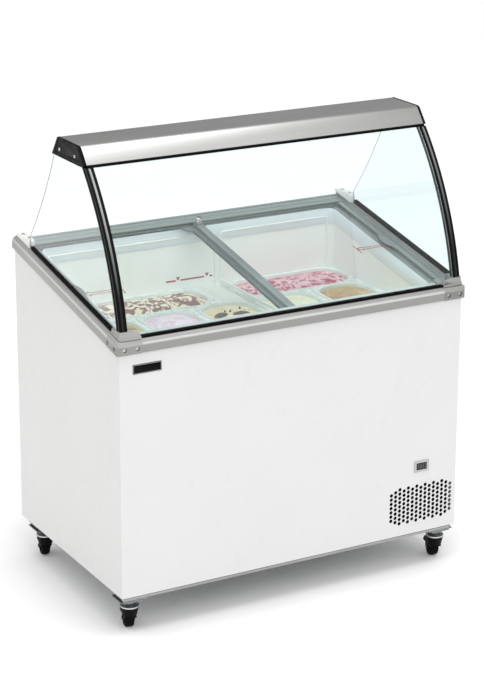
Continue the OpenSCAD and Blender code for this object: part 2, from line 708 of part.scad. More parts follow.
// Hooded fork about its own swivel axis, with its kingpin, two legs and the axle bolt.
module fork() {
    color(black) difference() {
        union() {
            translate([0, 0, 40]) cylinder(r1 = 19, r2 = 24.5, h = 23.6);
            translate([0, 0, 59]) cylinder(r = 6, h = 26, $fn = 40);
            intersection() {
                translate([-15.5, trail, wheel_r]) rotate([0, 90, 0]) cylinder(r = 31, h = 31, $fn = 72);
                box([-20, -20, 34], [20, 60, 59.5]);
            }
            for (s = [-1, 1]) translate([s * 14 - 1.5, 0, 0]) prism_x(0, 3)
                polygon([[trail - 9, wheel_r - 8], [trail + 9, wheel_r - 8], [16, 58], [-14, 58]]);
        }
        translate([-12.4, trail, wheel_r]) rotate([0, 90, 0]) cylinder(r = wheel_r + 2.5, h = 24.8, $fn = 72);
        translate([-20, trail, wheel_r]) rotate([0, 90, 0]) cylinder(r = 4.05, h = 40, $fn = 40);
    }
    color(steel) {
        translate([-17.6, trail, wheel_r]) rotate([0, 90, 0]) cylinder(r = 4, h = 35.2, $fn = 40);
        for (x = [-17.7, 15.6]) translate([x, trail, wheel_r]) rotate([0, 90, 0])
            cylinder(r = 5.2, h = 2.1, $fn = 6);
    }
}

module wheel() color(black) translate([-wheel_w / 2, trail, wheel_r]) rotate([0, 90, 0]) rotate_extrude() {
    difference() {
        union() {
            translate([4.05, 1]) square([15, wheel_w - 2]);
            translate([15, 0]) square([wheel_r - 20, wheel_w]);
            translate([15, 5]) square([wheel_r - 15, wheel_w - 10]);
            for (z = [5, wheel_w - 5]) translate([wheel_r - 5, z]) circle(5, $fn = 40);
        }
        for (z = [-1, wheel_w - 2.5]) translate([10.5, z]) square([6, 3.5]);
    }
}

module caster_part(sx, y) translate([sx * caster_x, y, 0]) rotate([0, 0, caster_turn]) children();

front_panel();
side(-1) side_panel();  // left_panel
side_panel();  // right_panel
rear_panel();
rear_cover();
base_tray();
base_strip();
insulation_foam();
inner_tank();
tank_collar();
evaporator_coil();
compressor();
condenser();
fan_shroud();
fan_blade();
power_inlet();
controller();
badge();
front_bumper();
side(-1) side_bumper();  // left_bumper
side_bumper();  // right_bumper
front_rail();
rear_rail();
side(-1) side_rail();  // left_rail
side_rail();  // right_rail
side(-1) front_bracket();  // front_left_bracket
front_bracket();  // front_right_bracket
side(-1) rear_bracket();  // rear_left_bracket
rear_bracket();  // rear_right_bracket
screws();
side(-1) post();  // left_post
post();  // right_post
front_glass();
side(-1) side_glass();  // left_glass
side_glass();  // right_glass
glass_gaskets();
canopy_sheet();
canopy_seal();
side(-1) end_cap();  // left_end_cap
end_cap();  // right_end_cap
lamp_housing();
lamp_diffuser();
lamp_switch();
left_lid_glass();
left_lid_frame();
right_lid_glass();
right_lid_frame();
lid_lock();
pan_rack();
pans();
ice_cream();
caster_mounts();
caster_part(-1, caster_front_y) fork();  // front_left_fork
caster_part(1, caster_front_y) fork();  // front_right_fork
caster_part(-1, caster_rear_y) fork();  // rear_left_fork
caster_part(1, caster_rear_y) fork();  // rear_right_fork
caster_part(-1, caster_front_y) wheel();  // front_left_wheel
caster_part(1, caster_front_y) wheel();  // front_right_wheel
caster_part(-1, caster_rear_y) wheel();  // rear_left_wheel
caster_part(1, caster_rear_y) wheel();  // rear_right_wheel
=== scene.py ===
"""Looks of an ice cream scooping freezer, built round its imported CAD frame. Metres, Z up."""

import math

import bpy
from mathutils import Matrix, Vector, noise


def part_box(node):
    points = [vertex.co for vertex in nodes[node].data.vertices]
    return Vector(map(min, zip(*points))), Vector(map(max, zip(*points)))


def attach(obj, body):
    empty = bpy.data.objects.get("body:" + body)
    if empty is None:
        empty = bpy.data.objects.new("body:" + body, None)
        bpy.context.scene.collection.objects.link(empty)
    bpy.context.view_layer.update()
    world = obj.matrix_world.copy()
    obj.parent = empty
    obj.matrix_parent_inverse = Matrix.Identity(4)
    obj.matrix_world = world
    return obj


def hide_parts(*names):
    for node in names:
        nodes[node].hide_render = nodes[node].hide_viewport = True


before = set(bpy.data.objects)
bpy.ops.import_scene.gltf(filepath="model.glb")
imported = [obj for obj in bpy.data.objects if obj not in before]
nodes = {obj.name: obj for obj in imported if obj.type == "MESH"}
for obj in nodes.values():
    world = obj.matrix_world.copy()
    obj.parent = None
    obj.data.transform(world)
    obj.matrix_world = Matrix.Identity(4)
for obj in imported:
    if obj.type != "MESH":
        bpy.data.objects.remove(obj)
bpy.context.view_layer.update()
scene = bpy.context.scene

MM = 0.001
SLOPE = math.radians(10.8)  # slope of the freezer's top
SLOPE_UP = Vector((0, -math.sin(SLOPE), math.cos(SLOPE)))
RIM_Z = 819.4 * MM  # height of the bumper's lower edge in the middle
SLOPE_PLANE = Matrix.Translation((0, 0, RIM_Z)) @ Matrix.Rotation(SLOPE, 4, "X")
ARC_MIDDLE = Vector((0, 515 * MM, 651 * MM))  # on the axis of the curved front glass
POST_X = 495 * MM  # middle of the posts' faces
STRIP_TOP = (101.9 * MM, 102.3 * MM)  # where the base strip turns into its painted shadow gap
SWIVEL_RING_TOP = (67.2 * MM, 67.8 * MM)
PAN_Z = 704.5 * MM  # height of the pans' rims
PAN_HALF = (169.8 * MM, 72.3 * MM)  # half sizes of the ice cream in a pan
PAN_CORNER = 53 * MM
FRONT_PAN_Y = -82.7 * MM
REAR_PAN_Y = 180.2 * MM
TANK_REAR_Y = 263 * MM
FRONT_Y = -315.0 * MM  # face of the front panel
CORNERS = ("front_left", "front_right", "rear_left", "rear_right")
CASTER_TURN = math.radians(-13)  # how far the casters' axles are turned about the vertical
AXLE_END = 17.75  # from the middle of a wheel to the end of its axle, in millimetres
DIE_LINES = {"x": (1.5, 900, 900), "y": (900, 1.5, 900)}  # noise stretched along an axis


# ---- shader helpers ----


def srgb(code):
    """Linear colour from a hex code."""
    values = [int(code[i : i + 2], 16) / 255 for i in (0, 2, 4)]
    return [*[v / 12.92 if v <= 0.04045 else ((v + 0.055) / 1.055) ** 2.4 for v in values], 1.0]


def scaled(colour, k):
    return [*[min(1.0, c * k) for c in colour[:3]], 1.0]


def feed(tree, socket, value):
    """Links another node's output to a socket, or sets a plain value on it."""
    if isinstance(value, bpy.types.NodeSocket):
        tree.links.new(value, socket)
    else:
        socket.default_value = value


class Shader:
    """A material with one Principled shader and short ways to add texture nodes to it."""

    def __init__(self, name, **sockets):
        self.material = bpy.data.materials.new(name)
        self.material.use_nodes = True
        self.tree = self.material.node_tree
        self.bsdf = self.tree.nodes["Principled BSDF"]
        for socket, value in sockets.items():
            self.put(socket.replace("_", " "), value)

    def put(self, socket, value):
        feed(self.tree, self.bsdf.inputs[socket], value)

    def add(self, kind, **inputs):
        """A new node, its inputs given by name with blanks as underscores."""
        node = self.tree.nodes.new(kind)
        for name, value in inputs.items():
            feed(self.tree, node.inputs[name.replace("_", " ")], value)
        return node

    def place(self, scale=(1, 1, 1)):
        """Object coordinates, stretched."""
        coords = self.tree.nodes.new("ShaderNodeTexCoord").outputs["Object"]
        return self.add("ShaderNodeMapping", Vector=coords, Scale=scale).outputs[0]

    def noise(self, scale, detail=3.0, where=None, distortion=0.0, roughness=0.5):
        node = self.add(
            "ShaderNodeTexNoise",
            Vector=where or self.place(),
            Scale=scale,
            Detail=detail,
            Roughness=roughness,
            Distortion=distortion,
        )
        return node.outputs["Fac"]

    def cells(self, scale, output="Distance"):
        return self.add("ShaderNodeTexVoronoi", Vector=self.place(), Scale=scale).outputs[output]

    def axis(self, letter):
        """The object's X, Y or Z in metres."""
        return self.add("ShaderNodeSeparateXYZ", Vector=self.place()).outputs[letter]

    def spread(self, value, low, high, start=0.3, end=0.7):
        """value from start to end becomes low to high."""
        node = self.add(
            "ShaderNodeMapRange", Value=value, From_Min=start, From_Max=end, To_Min=low, To_Max=high
        )
        return node.outputs[0]

    def mix(self, factor, a, b):
        node = self.tree.nodes.new("ShaderNodeMix")
        node.data_type = "RGBA"
        # a Mix node has an A and a B for each data type: 6 and 7 are the colours
        for i, value in ((0, factor), (6, a), (7, b)):
            feed(self.tree, node.inputs[i], value)
        return node.outputs[2]

    def calc(self, operation, a, b=0.0):
        node = self.tree.nodes.new("ShaderNodeMath")
        node.operation = operation
        for i, value in enumerate((a, b)):
            feed(self.tree, node.inputs[i], value)
        return node.outputs[0]

    def bump(self, height, distance, strength=1.0):
        """Relief of the given depth in metres, added to any the shader has."""
        node = self.add("ShaderNodeBump", Height=height, Distance=distance, Strength=strength)
        normal = self.bsdf.inputs["Normal"]
        if normal.is_linked:
            self.tree.links.new(normal.links[0].from_socket, node.inputs["Normal"])
        self.tree.links.new(node.outputs[0], normal)

    def let_lamps_through(self, tint):
        """Rays from lamps pass the glass, so that what is behind it is lit."""
        output = self.tree.nodes["Material Output"]
        clear = self.add("ShaderNodeBsdfTransparent", Color=tint)
        mixer = self.tree.nodes.new("ShaderNodeMixShader")
        path = self.tree.nodes.new("ShaderNodeLightPath")
        self.tree.links.new(path.outputs["Is Shadow Ray"], mixer.inputs[0])
        self.tree.links.new(self.bsdf.outputs[0], mixer.inputs[1])
        self.tree.links.new(clear.outputs[0], mixer.inputs[2])
        self.tree.links.new(mixer.outputs[0], output.inputs["Surface"])


def worn(shader, base, dark=0.94, light=1.03, scale=9.0, dirt_scale=60.0):
    """Base colour with slow patches and faint handling marks."""
    patches = shader.spread(shader.noise(scale, 4), 0, 1)
    marks = shader.spread(shader.noise(dirt_scale, 6, roughness=0.7), 0, 1, 0.58, 0.75)
    colour = shader.mix(patches, scaled(base, dark), scaled(base, light))
    return shader.mix(shader.calc("MULTIPLY", marks, 0.25), colour, scaled(base, 0.8))


def paint(name, code, rough=0.34):
    """Powder coat on sheet steel, with a fine orange peel."""
    s = Shader(name, Coat_Weight=0.15, Coat_Roughness=0.25)
    s.put("Base Color", worn(s, srgb(code), 0.985, 1.005, 4.0, 18.0))
    s.put("Roughness", s.spread(s.noise(35, 4), rough - 0.05, rough + 0.07))
    s.bump(s.noise(900, 2), 0.00006)
    s.bump(s.noise(14, 1), 0.0002)
    return s.material


def plastic(name, code, rough=0.42, grain=1500, depth=0.00005, dark=0.93, light=1.04, **sockets):
    """Moulded or extruded plastic with a fine grain and a few rubbed patches."""
    s = Shader(name, **sockets)
    s.put("Base Color", worn(s, srgb(code), dark, light))
    s.put("Roughness", s.spread(s.noise(70, 4), rough - 0.08, rough + 0.1))
    s.bump(s.noise(grain, 3), depth)
    return s.material


def extruded(name, code, along="x"):
    """Profile with die lines that run along one axis."""
    s = Shader(name)
    lines = s.noise(1.0, 4, s.place(DIE_LINES[along]))
    colour = worn(s, srgb(code), 0.94, 1.05)
    s.put("Base Color", s.mix(s.spread(lines, 0, 1), colour, scaled(srgb(code), 1.03)))
    s.put("Roughness", s.spread(lines, 0.33, 0.5))
    s.bump(lines, 0.00003)
    s.bump(s.noise(1200, 2), 0.00002)
    return s.material


def metal(name, code, rough, spangle=0.0):
    """Bare or plated steel, with zinc crystals where spangle is set."""
    base = srgb(code)
    s = Shader(name, Metallic=1.0)
    colour = worn(s, base, 0.86, 1.05, 25.0, 120.0)
    if spangle:
        crystals = s.cells(120, output="Color")
        colour = s.mix(spangle, colour, s.mix(crystals, scaled(base, 0.7), scaled(base, 1.15)))
    s.put("Base Color", colour)
    s.put("Roughness", s.spread(s.noise(90, 4), rough - 0.08, rough + 0.12))
    s.bump(s.noise(700, 3), 0.00003)
    return s.material


def clear_glass(name, tint, shadow_tint, ior):
    """Float glass with faint ripple and smears that show only in its gloss."""
    s = Shader(name, Base_Color=tint, IOR=ior, Transmission_Weight=1.0)
    s.put("Roughness", s.spread(s.noise(22, 5), 0, 0.03, 0.5, 0.8))
    s.bump(s.noise(5, 1), 0.00004, 0.3)
    s.let_lamps_through(shadow_tint)
    return s.material


# ---- materials ----

FRONT_WHITE = paint("front_paint", "DADADA")
# The front's paint, a shade darker on the sides and rear as painted shade for the less lit faces.
SHADED_SIDE_WHITE = paint("shaded_side_paint", "D6D6D5")
RAIL = extruded("rail_plastic", "8A9492")
FRONT_RAIL = extruded("front_rail_plastic", "BFC8C4")
RAIL_SIDE = extruded("side_rail_plastic", "8A9290", "y")
LEFT_LID = extruded("left_lid_profile", "7A8281", "y")
RIGHT_LID = extruded("right_lid_profile", "8E9695", "y")
REAR_BRACKET = plastic("rear_bracket_plastic", "E6E6E4", 0.4)
BLACK = plastic("black_plastic", "040405", 0.42, grain=1100, Specular_IOR_Level=0.1)
GALVANISED = metal("galvanised_steel", "A6A8A9", 0.42, 0.35)
ZINC = metal("zinc_plate", "B6B8BA", 0.32)
SCREW_STEEL = metal("screw_steel", "D8D8D8", 0.24)
CHROME = metal("chrome_plate", "E6E6E6", 0.12)
# Near-black fins: black paint on the condenser, also standing in for painted shade behind the front
# vent holes.
FINS = plastic("condenser_fins", "0B0B0C", 0.6, Specular_IOR_Level=0.15)
COPPER = metal("copper_tube", "C07A52", 0.3)
WHITE_PLASTIC = plastic("white_plastic", "F2F5F1", 0.36, dark=0.97, light=1.02)
PAN_PLASTIC = plastic(
    "pan_plastic",
    "E4E9E5",
    0.3,
    dark=0.97,
    light=1.02,
    Subsurface_Weight=0.15,
    Subsurface_Scale=0.004,
)
LINER = paint("liner_paint", "F7F9F6", 0.42)
COLLAR = plastic("collar_plastic", "E4EEF3", 0.36, dark=0.97, light=1.02)
FOAM = plastic("polyurethane_foam", "DCC98A", 0.85, 500, 0.0004)
BEZEL = plastic("bezel_plastic", "B5B5B3", 0.3)
GREY_PLASTIC = plastic("fan_plastic", "5C5F60", 0.4)
DIFFUSER = plastic("lamp_diffuser_plastic", "F2F3F0", 0.3)
RED_INK = plastic("red_ink", "A82836", 0.5)
BADGE_RIM = metal("badge_rim", "B9BABB", 0.3)
CANOPY_GLASS = clear_glass("canopy_glass", [0.922, 0.985, 0.989, 1], [0.98, 0.997, 0.998, 1], 1.38)
LID_GLASS = clear_glass("lid_glass", [0.975, 0.993, 0.988, 1], [0.985, 0.996, 0.994, 1], 1.27)


def glass_edge():
    """Ground edge of a pane: a dark green grey, half clouded."""
    s = Shader("glass_edge", IOR=1.5, Transmission_Weight=0.25)
    s.put("Base Color", worn(s, srgb("5E6F6E"), 0.9, 1.05, 30, 90))
    s.put("Roughness", s.spread(s.noise(300, 3), 0.2, 0.4))
    s.bump(s.noise(1500, 2), 0.00004)
    return s.material


def brushed_aluminium():
    """Folded hood: a grain that runs along the hood, with slow streaks in it."""
    s = Shader("brushed_aluminium", Metallic=1.0)
    grain = s.noise(1.0, 5, s.place((3, 1400, 1400)), roughness=0.7)
    wide = s.noise(1.0, 2, s.place((1.6, 14, 14)))
    base = srgb("CDCDCC")
    colour = s.mix(s.spread(grain, 0, 1), scaled(base, 0.88), scaled(base, 1.04))
    s.put("Base Color", s.mix(s.spread(wide, 0, 0.6), colour, scaled(base, 0.86)))
    s.put("Roughness", s.spread(grain, 0.36, 0.5))
    s.bump(grain, 0.00002)
    return s.material


def rubber(name, code):
    s = Shader(name, Specular_IOR_Level=0.08)
    s.put("Base Color", worn(s, srgb(code), 0.85, 1.25, 30, 120))
    s.put("Roughness", s.spread(s.noise(160, 4), 0.5, 0.75))
    s.bump(s.noise(900, 4), 0.00008)
    return s.material


def screen_material():
    """Dark window behind a clear cover."""
    s = Shader(
        "display_window",
        Roughness=0.2,
        Coat_Weight=0.15,
        Coat_Roughness=0.05,
        Specular_IOR_Level=0.2,
    )
    s.put("Base Color", worn(s, srgb("14171A"), 0.8, 1.2, 200, 500))
    s.bump(s.noise(800, 2), 0.00001)
    return s.material


def ice(
    name,
    base,
    second,
    streak,
    share=0.3,
    scale=26.0,
    stretch=(1, 1, 1),
    distortion=1.5,
    bits=None,
    bit_scale=95,
):
    """Scooped ice cream: two creamy tones, streaks of sauce over a share of it, and small bits."""
    s = Shader(name, Subsurface_Weight=0.25, Subsurface_Scale=0.006, Specular_IOR_Level=0.35)
    s.bsdf.inputs["Subsurface Radius"].default_value = (1.0, 0.7, 0.5)
    where = s.place(stretch)
    tone = s.mix(s.spread(s.noise(38, 4, where), 0, 1), srgb(base), srgb(second))
    ripple = s.noise(scale, 6, where, distortion, 0.62)
    edge = 0.62 - 0.32 * share
    colour = s.mix(s.spread(ripple, 0, 1, edge, edge + 0.05), tone, srgb(streak))
    if bits:
        spots = s.spread(s.cells(bit_scale), 1, 0, 0.16, 0.24)
        keep = s.spread(s.noise(30, 2), 0, 1, 0.5, 0.56)
        colour = s.mix(s.calc("MULTIPLY", spots, keep), colour, srgb(bits))
    s.put("Base Color", colour)
    s.put("Roughness", s.spread(ripple, 0.5, 0.7))
    s.bump(s.noise(55, 6, where, 0.8), 0.0016, 0.7)
    s.bump(s.noise(420, 4), 0.0003, 0.8)
    return s.material


def bumper_material(name, low, shoulder_highlight, top, along="x"):
    """Trim with one grey on its face, a paler painted highlight band where it rounds over, and
    another grey on top.
    """
    highlight_from = (22 * MM, 24.5 * MM)  # heights square to the slope
    top_from = (28.2 * MM, 29.8 * MM)
    s = Shader(name)
    rise = s.calc("MULTIPLY", s.calc("SUBTRACT", s.axis("Z"), RIM_Z), math.cos(SLOPE))
    height = s.calc("SUBTRACT", rise, s.calc("MULTIPLY", s.axis("Y"), math.sin(SLOPE)))
    # painted highlight: the paler band mixed into the face colour between these heights
    face = s.mix(s.spread(height, 0, 1, *highlight_from), srgb(low), srgb(shoulder_highlight))
    tone = s.mix(s.spread(height, 0, 1, *top_from), face, srgb(top))
    lines = s.noise(1.0, 4, s.place(DIE_LINES[along]))
    patches = s.calc("MULTIPLY", s.spread(s.noise(40, 5, roughness=0.7), 0, 1, 0.5, 0.75), 0.12)
    s.put("Base Color", s.mix(patches, tone, scaled(srgb(low), 0.85)))
    s.put("Roughness", s.spread(lines, 0.3, 0.42))
    s.bump(lines, 0.00003)
    s.bump(s.noise(1200, 2), 0.00002)
    return s.material


def base_strip_material():
    """Grey strip with a painted shadow gap along its upper edge."""
    s = Shader("base_strip_plastic")
    shadow_gap = s.spread(s.axis("Z"), 0, 1, *STRIP_TOP)
    lines = s.noise(1.0, 4, s.place(DIE_LINES["x"]))
    # painted shadow: the dark line where the strip meets the panel above it
    s.put("Base Color", s.mix(shadow_gap, worn(s, srgb("A3A4A2"), 0.9, 1.05), srgb("2E2F2F")))
    s.put("Roughness", s.spread(lines, 0.38, 0.55))
    s.bump(lines, 0.00003)
    return s.material


def mount_material():
    """Zinc plate and cup, painted darker as shade under the cabinet, over a bright swivel ring."""
    s = Shader("caster_mount_zinc", Metallic=1.0)
    above_ring = s.spread(s.axis("Z"), 0, 1, *SWIVEL_RING_TOP)
    # painted shade: the zinc above the ring is darkened
    shaded_zinc = worn(s, srgb("86888A"), 0.86, 1.05, 25.0, 120.0)
    s.put("Base Color", s.mix(above_ring, worn(s, srgb("D2D3D4"), 0.92, 1.04), shaded_zinc))
    s.put("Roughness", s.spread(s.noise(90, 4), 0.24, 0.42))
    s.bump(s.noise(700, 3), 0.00003)
    return s.material


def post_material():
    """Black coating with a painted highlight strip down the face, brightest at the top of the left
    post.
    """
    s = Shader("post_coating", Specular_IOR_Level=0.12)
    x = s.axis("X")
    off = s.calc("ABSOLUTE", s.calc("SUBTRACT", s.calc("ABSOLUTE", x), POST_X))
    strip = s.spread(off, 1, 0, 2.6 * MM, 3.4 * MM)
    # painted highlight: the strip's grey fades in towards the top and is brighter on the left post
    highlight_fade = s.spread(s.axis("Z"), 0, 1, 0.9, 1.12)
    left = s.spread(x, 1, 0.45, -0.01, 0.01)
    grey = s.mix(s.calc("MULTIPLY", highlight_fade, left), srgb("2A2B2B"), srgb("A9ABAA"))
    s.put("Base Color", s.mix(strip, worn(s, srgb("040405"), 0.85, 1.2, 30, 90), grey))
    s.put("Roughness", s.spread(s.noise(80, 4), 0.26, 0.4))
    s.bump(s.noise(1300, 3), 0.00002)
    return s.material


# The second colour of each is a painted highlight on the trim's rounded top edge.
BUMPER = bumper_material("bumper_plastic", "90908E", "C8C8C7", "9C9C9A")
BUMPER_SIDE = bumper_material("side_bumper_plastic", "9A9A98", "C4C4C3", "9A9A98", "y")
LEFT_BRACKET = bumper_material("left_bracket_plastic", "8E8E8C", "A8A8A6", "A0A09E")
RIGHT_BRACKET = bumper_material("right_bracket_plastic", "7E7E7C", "949492", "929290")
BASE_GREY = base_strip_material()
ALUMINIUM = brushed_aluminium()
POST = post_material()
MOUNT = mount_material()
EDGE = glass_edge()
GASKET = rubber("gasket_rubber", "030303")
TYRE = rubber("wheel_rubber", "090909")
SCREEN = screen_material()
DIGITS = plastic("display_segments", "5C6266", 0.3)
COOKIE = plastic("cookie", "5A5756", 0.7, 240, 0.0008)


# ---- CAD nodes: shading, softened edges, materials ----


def by_angle(obj, degrees=32):
    obj.data.shade_smooth()
    obj.data.set_sharp_from_angle(angle=math.radians(degrees))


def soften(obj, width):
    """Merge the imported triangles' corners and round the sharp edges a little."""
    weld = obj.modifiers.new("weld", "WELD")
    weld.merge_threshold = 0.00002
    bevel = obj.modifiers.new("edges", "BEVEL")
    bevel.width = width
    bevel.segments = 2
    bevel.limit_method = "ANGLE"
    bevel.angle_limit = math.radians(35)
    bevel.harden_normals = True
    bevel.use_clamp_overlap = True


def dress(node, material, edge=0.0):
    obj = nodes[node]
    obj.data.materials.clear()
    obj.data.materials.append(material)
    by_angle(obj)
    if edge:
        soften(obj, edge * MM)


def ground_edges(node, across):
    """Gives a pane's rim its own material; across(point) is the thickness direction there."""
    mesh = nodes[node].data
    mesh.materials.append(EDGE)
    for face in mesh.polygons:
        face.material_index = int(abs(face.normal.dot(across(face.center))) < 0.5)


LOOKS = {
    "front_panel": FRONT_WHITE,
    "left_panel": SHADED_SIDE_WHITE,
    "right_panel": SHADED_SIDE_WHITE,
    "rear_panel": SHADED_SIDE_WHITE,
    "rear_cover": GALVANISED,
    "base_tray": GALVANISED,
    "base_strip": BASE_GREY,
    "insulation_foam": FOAM,
    "inner_tank": LINER,
    "tank_collar": COLLAR,
    "evaporator_coil": COPPER,
    "compressor": BLACK,
    "condenser": FINS,
    "fan_shroud": GALVANISED,
    "fan_blade": GREY_PLASTIC,
    "power_inlet": BLACK,
    "controller": BEZEL,
    "badge": BLACK,
    "front_bumper": BUMPER,
    "left_bumper": BUMPER_SIDE,
    "right_bumper": BUMPER_SIDE,
    "front_rail": FRONT_RAIL,
    "rear_rail": RAIL,
    "left_rail": RAIL_SIDE,
    "right_rail": RAIL_SIDE,
    "front_left_bracket": LEFT_BRACKET,
    "front_right_bracket": RIGHT_BRACKET,
    "rear_left_bracket": REAR_BRACKET,
    "rear_right_bracket": REAR_BRACKET,
    "screws": SCREW_STEEL,
    "left_post": POST,
    "right_post": POST,
    "front_glass": CANOPY_GLASS,
    "left_glass": CANOPY_GLASS,
    "right_glass": CANOPY_GLASS,
    "glass_gaskets": GASKET,
    "canopy_sheet": ALUMINIUM,
    "canopy_seal": GASKET,
    "left_end_cap": BLACK,
    "right_end_cap": BLACK,
    "lamp_housing": WHITE_PLASTIC,
    "lamp_diffuser": DIFFUSER,
    "lamp_switch": BLACK,
    "left_lid_glass": LID_GLASS,
    "left_lid_frame": LEFT_LID,
    "right_lid_glass": LID_GLASS,
    "right_lid_frame": RIGHT_LID,
    "lid_lock": CHROME,
    "pan_rack": WHITE_PLASTIC,
    "pans": PAN_PLASTIC,
    "ice_cream": PAN_PLASTIC,
    "caster_mounts": MOUNT,
    **{f"{corner}_fork": BLACK for corner in CORNERS},
    **{f"{corner}_wheel": TYRE for corner in CORNERS},
}
ROUNDED = {  # width of the rounding on the nodes' sharp edges, in millimetres
    "base_strip": 0.4,
    "tank_collar": 0.8,
    "controller": 0.7,
    "badge": 0.4,
    "front_bumper": 0.5,
    "left_bumper": 0.5,
    "right_bumper": 0.5,
    "front_rail": 0.35,
    "rear_rail": 0.35,
    "left_rail": 0.4,
    "right_rail": 0.4,
    "front_left_bracket": 1.8,
    "front_right_bracket": 1.8,
    "rear_left_bracket": 1.6,
    "rear_right_bracket": 1.6,
    "screws": 0.25,
    "left_post": 0.5,
    "right_post": 0.5,
    "glass_gaskets": 0.5,
    "canopy_sheet": 0.7,
    "canopy_seal": 0.6,
    "left_end_cap": 1.0,
    "right_end_cap": 1.0,
    "lamp_housing": 1.0,
    "lamp_diffuser": 0.8,
    "left_lid_frame": 0.35,
    "right_lid_frame": 0.35,
    "lid_lock": 0.5,
    "pan_rack": 0.6,
    "pans": 0.7,
    "compressor": 1.5,
    "power_inlet": 0.5,
    "rear_cover": 0.5,
}
for name, look in LOOKS.items():
    dress(name, look, ROUNDED.get(name, 0.0))


def from_arc(point):
    return (Vector((0, point.y, point.z)) - ARC_MIDDLE).normalized()


for name in ("left_glass", "right_glass"):
    ground_edges(name, lambda point: Vector((1, 0, 0)))
for name in ("left_lid_glass", "right_lid_glass"):
    ground_edges(name, lambda point: SLOPE_UP)
ground_edges("front_glass", from_arc)


# ---- pieces built here ----


def piece(name, verts, faces, material, body, slot):
    """A closed mesh that rides on a CAD body."""
    mesh = bpy.data.meshes.new(name)
    mesh.from_pydata([tuple(v) for v in verts], [], faces)
    mesh.materials.append(material)
    mesh.update()
    obj = bpy.data.objects.new(name, mesh)
    scene.collection.objects.link(obj)
    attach(obj, body)
    return obj


def slab(outline, depth, to_world):
    """Vertices and faces of a flat outline raised by depth, from its own plane to the world."""
    n = len(outline)
    verts = [to_world @ Vector((x, y, z)) for z in (0, depth) for x, y in outline]
    faces = [tuple(range(n - 1, -1, -1)), tuple(range(n, 2 * n))]
    faces += [(i, (i + 1) % n, n + (i + 1) % n, n + i) for i in range(n)]
    return verts, faces


def joined(parts):
    verts, faces = [], []
    for some_verts, some_faces in parts:
        faces += [tuple(i + len(verts) for i in face) for face in some_faces]
        verts += some_verts
    return verts, faces


def in_metres(points):
    return [tuple(c * MM for c in p) for p in points]


def rectangle(x0, z0, x1, z1):
    return [(x0, z0), (x1, z0), (x1, z1), (x0, z1)]


def stroke(a, b, width):
    """Outline of a thin line between two points."""
    along = (Vector(b) - Vector(a)).normalized()
    side = Vector((-along.y, along.x)) * width / 2
    return [tuple(Vector(p) + s) for p, s in ((a, -side), (b, -side), (b, side), (a, side))]


def facing_front(y):
    """Upright plane at y, with x and z across it, that rises towards the front."""
    return Matrix.Translation((0, y, 0)) @ Matrix.Rotation(math.radians(90), 4, "X")


def walls(rings, around):
    """Faces between neighbouring rings of vertices that all have the same number of points."""
    faces = []
    for k in range(rings - 1):
        for i in range(around):
            j = (i + 1) % around
            faces.append(
                (k * around + i, k * around + j, (k + 1) * around + j, (k + 1) * around + i)
            )
    return faces


def closed_walls(rings, around):
    """The same with a face on the first and the last ring."""
    first, last = range(around - 1, -1, -1), range((rings - 1) * around, rings * around)
    return [*walls(rings, around), tuple(first), tuple(last)]


def tube(points, radius):
    """Vertices and faces of a closed-ended round bar along points."""
    around = 10
    points = [Vector(p) for p in points]
    verts = []
    for k, point in enumerate(points):
        along = (points[min(k + 1, len(points) - 1)] - points[max(k - 1, 0)]).normalized()
        side = along.cross(Vector((0, 1, 0))).normalized()
        up = side.cross(along)
        for i in range(around):
            angle = 2 * math.pi * i / around
            verts.append(point + (side * math.cos(angle) + up * math.sin(angle)) * radius)
    return verts, closed_walls(len(points), around)


def bend(middle_x, middle_z, radius, start, end, y):
    """Points on an upright arc between two angles in degrees."""
    steps = 6
    points = []
    for i in range(steps + 1):
        angle = math.radians(start + (end - start) * i / steps)
        points.append((middle_x + radius * math.cos(angle), y, middle_z + radius * math.sin(angle)))
    return points


def rounded_outline(a, b, r):
    """Rectangle of half sizes a and b with corners of radius r, cut into short sides."""
    corner_steps, side_step = 14, 6 * MM
    points = []
    for cx, cy, start in (
        (a - r, b - r, 0),
        (r - a, b - r, 90),
        (r - a, r - b, 180),
        (a - r, r - b, 270),
    ):
        for i in range(corner_steps + 1):
            angle = math.radians(start + 90 * i / corner_steps)
            points.append(Vector((cx + r * math.cos(angle), cy + r * math.sin(angle))))
    out = []
    for i, p in enumerate(points):
        q = points[(i + 1) % len(points)]
        cuts = max(1, round((q - p).length / side_step))
        out += [p.lerp(q, k / cuts) for k in range(cuts)]
    return out


